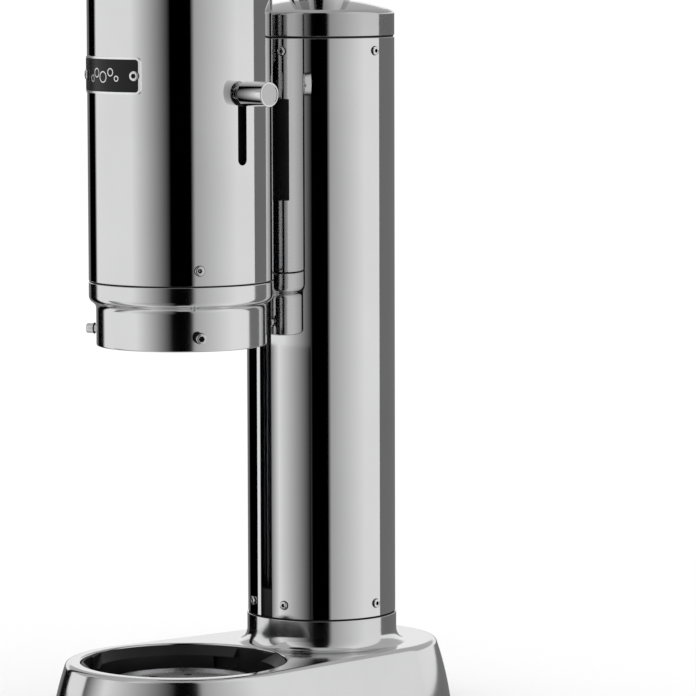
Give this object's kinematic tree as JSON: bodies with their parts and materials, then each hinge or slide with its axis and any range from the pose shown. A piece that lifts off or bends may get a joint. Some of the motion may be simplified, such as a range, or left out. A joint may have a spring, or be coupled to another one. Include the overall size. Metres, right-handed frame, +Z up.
{
  "type": "soda carbonator",
  "caption": "Bench-top water carbonator: a polished round pressure head slides down a tower over a bottle standing in a bayonet well on a low base.",
  "frame": {"origin": "centre of the underside, on the floor, where the middle foot pad rests", "axes": "+Z up along the tower and the head; -Y towards the front, where the bottle well is; +X towards the side handle"},
  "size_m": [0.1674, 0.287, 0.585],
  "materials": {
    "polished_steel": "mirror-polished stainless steel",
    "brushed_steel": "satin stainless steel",
    "screw_steel": "bright turned steel",
    "black_plastic": "satin black moulded plastic",
    "inner_plastic": "matt black moulded plastic",
    "rubber": "matt black rubber",
    "brass": "turned brass",
    "aluminium": "milled aluminium",
    "cylinder_paint": "powder-coated grey steel",
    "badge_paint": "gloss black enamel",
    "spring_steel": "spring steel"
  },
  "bodies": {
    "stand": {"base_shell": "polished_steel", "base_plate": "inner_plastic", "foot_pads": "rubber", "base_screws": "screw_steel", "well_cup": "inner_plastic", "tower_tube": "polished_steel", "tower_foot_block": "inner_plastic", "tower_top_ring": "inner_plastic", "tower_foot_screws": "screw_steel", "tower_top_screws": "screw_steel", "guide_rods": "spring_steel", "valve_block": "brass", "valve_seal": "rubber", "valve_bracket": "aluminium", "drum_bracket": "brushed_steel", "drum_axle": "screw_steel", "spring_tape": "spring_steel", "gas_hose": "rubber"},
    "lock_ring": {"lock_ring": "black_plastic"},
    "tray": {"drip_tray": "brushed_steel"},
    "lid": {"tower_lid": "polished_steel", "lid_seal": "rubber", "lid_knob": "polished_steel", "lid_knob_screw": "screw_steel"},
    "gas_cylinder": {"gas_cylinder": "cylinder_paint", "gas_cylinder_valve": "brass"},
    "drum": {"spring_drum": "inner_plastic"},
    "head": {"head_tube": "polished_steel", "head_cap": "polished_steel", "head_cap_screws": "screw_steel", "head_collar": "polished_steel", "collar_screws": "screw_steel", "lock_pins": "screw_steel", "badge_frame": "screw_steel", "badge_plate": "badge_paint", "badge_screws": "screw_steel", "chamber_liner": "inner_plastic", "head_bracket": "aluminium", "bracket_plate": "brushed_steel", "bracket_screws": "screw_steel", "carriage": "inner_plastic", "carriage_screws": "screw_steel", "carriage_bushings": "brass", "head_hose": "rubber", "return_springs": "spring_steel"},
    "carrier": {"carrier": "aluminium", "carrier_arm": "inner_plastic", "handle_stem": "screw_steel", "handle_knob": "polished_steel", "safety_valve": "brass", "gas_valve": "brass", "nozzle_spring": "spring_steel"},
    "nozzle": {"nozzle_housing": "inner_plastic", "nozzle_tube": "brushed_steel", "bottle_seal": "rubber", "nozzle_clip": "spring_steel"}
  },
  "joints": [
    {"name": "head_slide", "type": "slide", "parent": "stand", "child": "head", "axis": [0, 0, -1], "range_m": [0, 0.2185], "deforming": ["gas_hose", "spring_tape"]},
    {"name": "drum_spin", "type": "hinge", "parent": "stand", "child": "drum", "pos_m": [0, 0.021, 0.412], "axis": [1, 0, 0], "range_deg": [-1750, 0]},
    {"name": "handle_slide", "type": "slide", "parent": "head", "child": "carrier", "axis": [0, 0, -1], "range_m": [0, 0.0404], "stiffness_N_per_m": 400, "springref_m": -0.03, "deforming": ["return_springs", "head_hose"]},
    {"name": "nozzle_float", "type": "slide", "parent": "carrier", "child": "nozzle", "axis": [0, 0, 1], "range_m": [0, 0.005], "stiffness_N_per_m": 1500, "springref_m": -0.004, "deforming": ["nozzle_spring"]},
    {"name": "lock_turn", "type": "hinge", "parent": "stand", "child": "lock_ring", "pos_m": [0, -0.063, 0.036], "axis": [0, 0, -1], "range_deg": [0, 24]},
    {"name": "tray_lift", "type": "slide", "parent": "stand", "child": "tray", "axis": [0, 0, 1], "range_m": [0, 0.04]},
    {"name": "lid_lift", "type": "slide", "parent": "stand", "child": "lid", "axis": [0, 0, 1], "range_m": [0, 0.06]},
    {"name": "cylinder_out", "type": "slide", "parent": "stand", "child": "gas_cylinder", "axis": [0, 0, -1], "range_m": [0, 0.38]}
  ],
  "couplings": [
    {"joint": "drum_spin", "follows": "head_slide", "rad_per_m": -136.99}
  ]
}
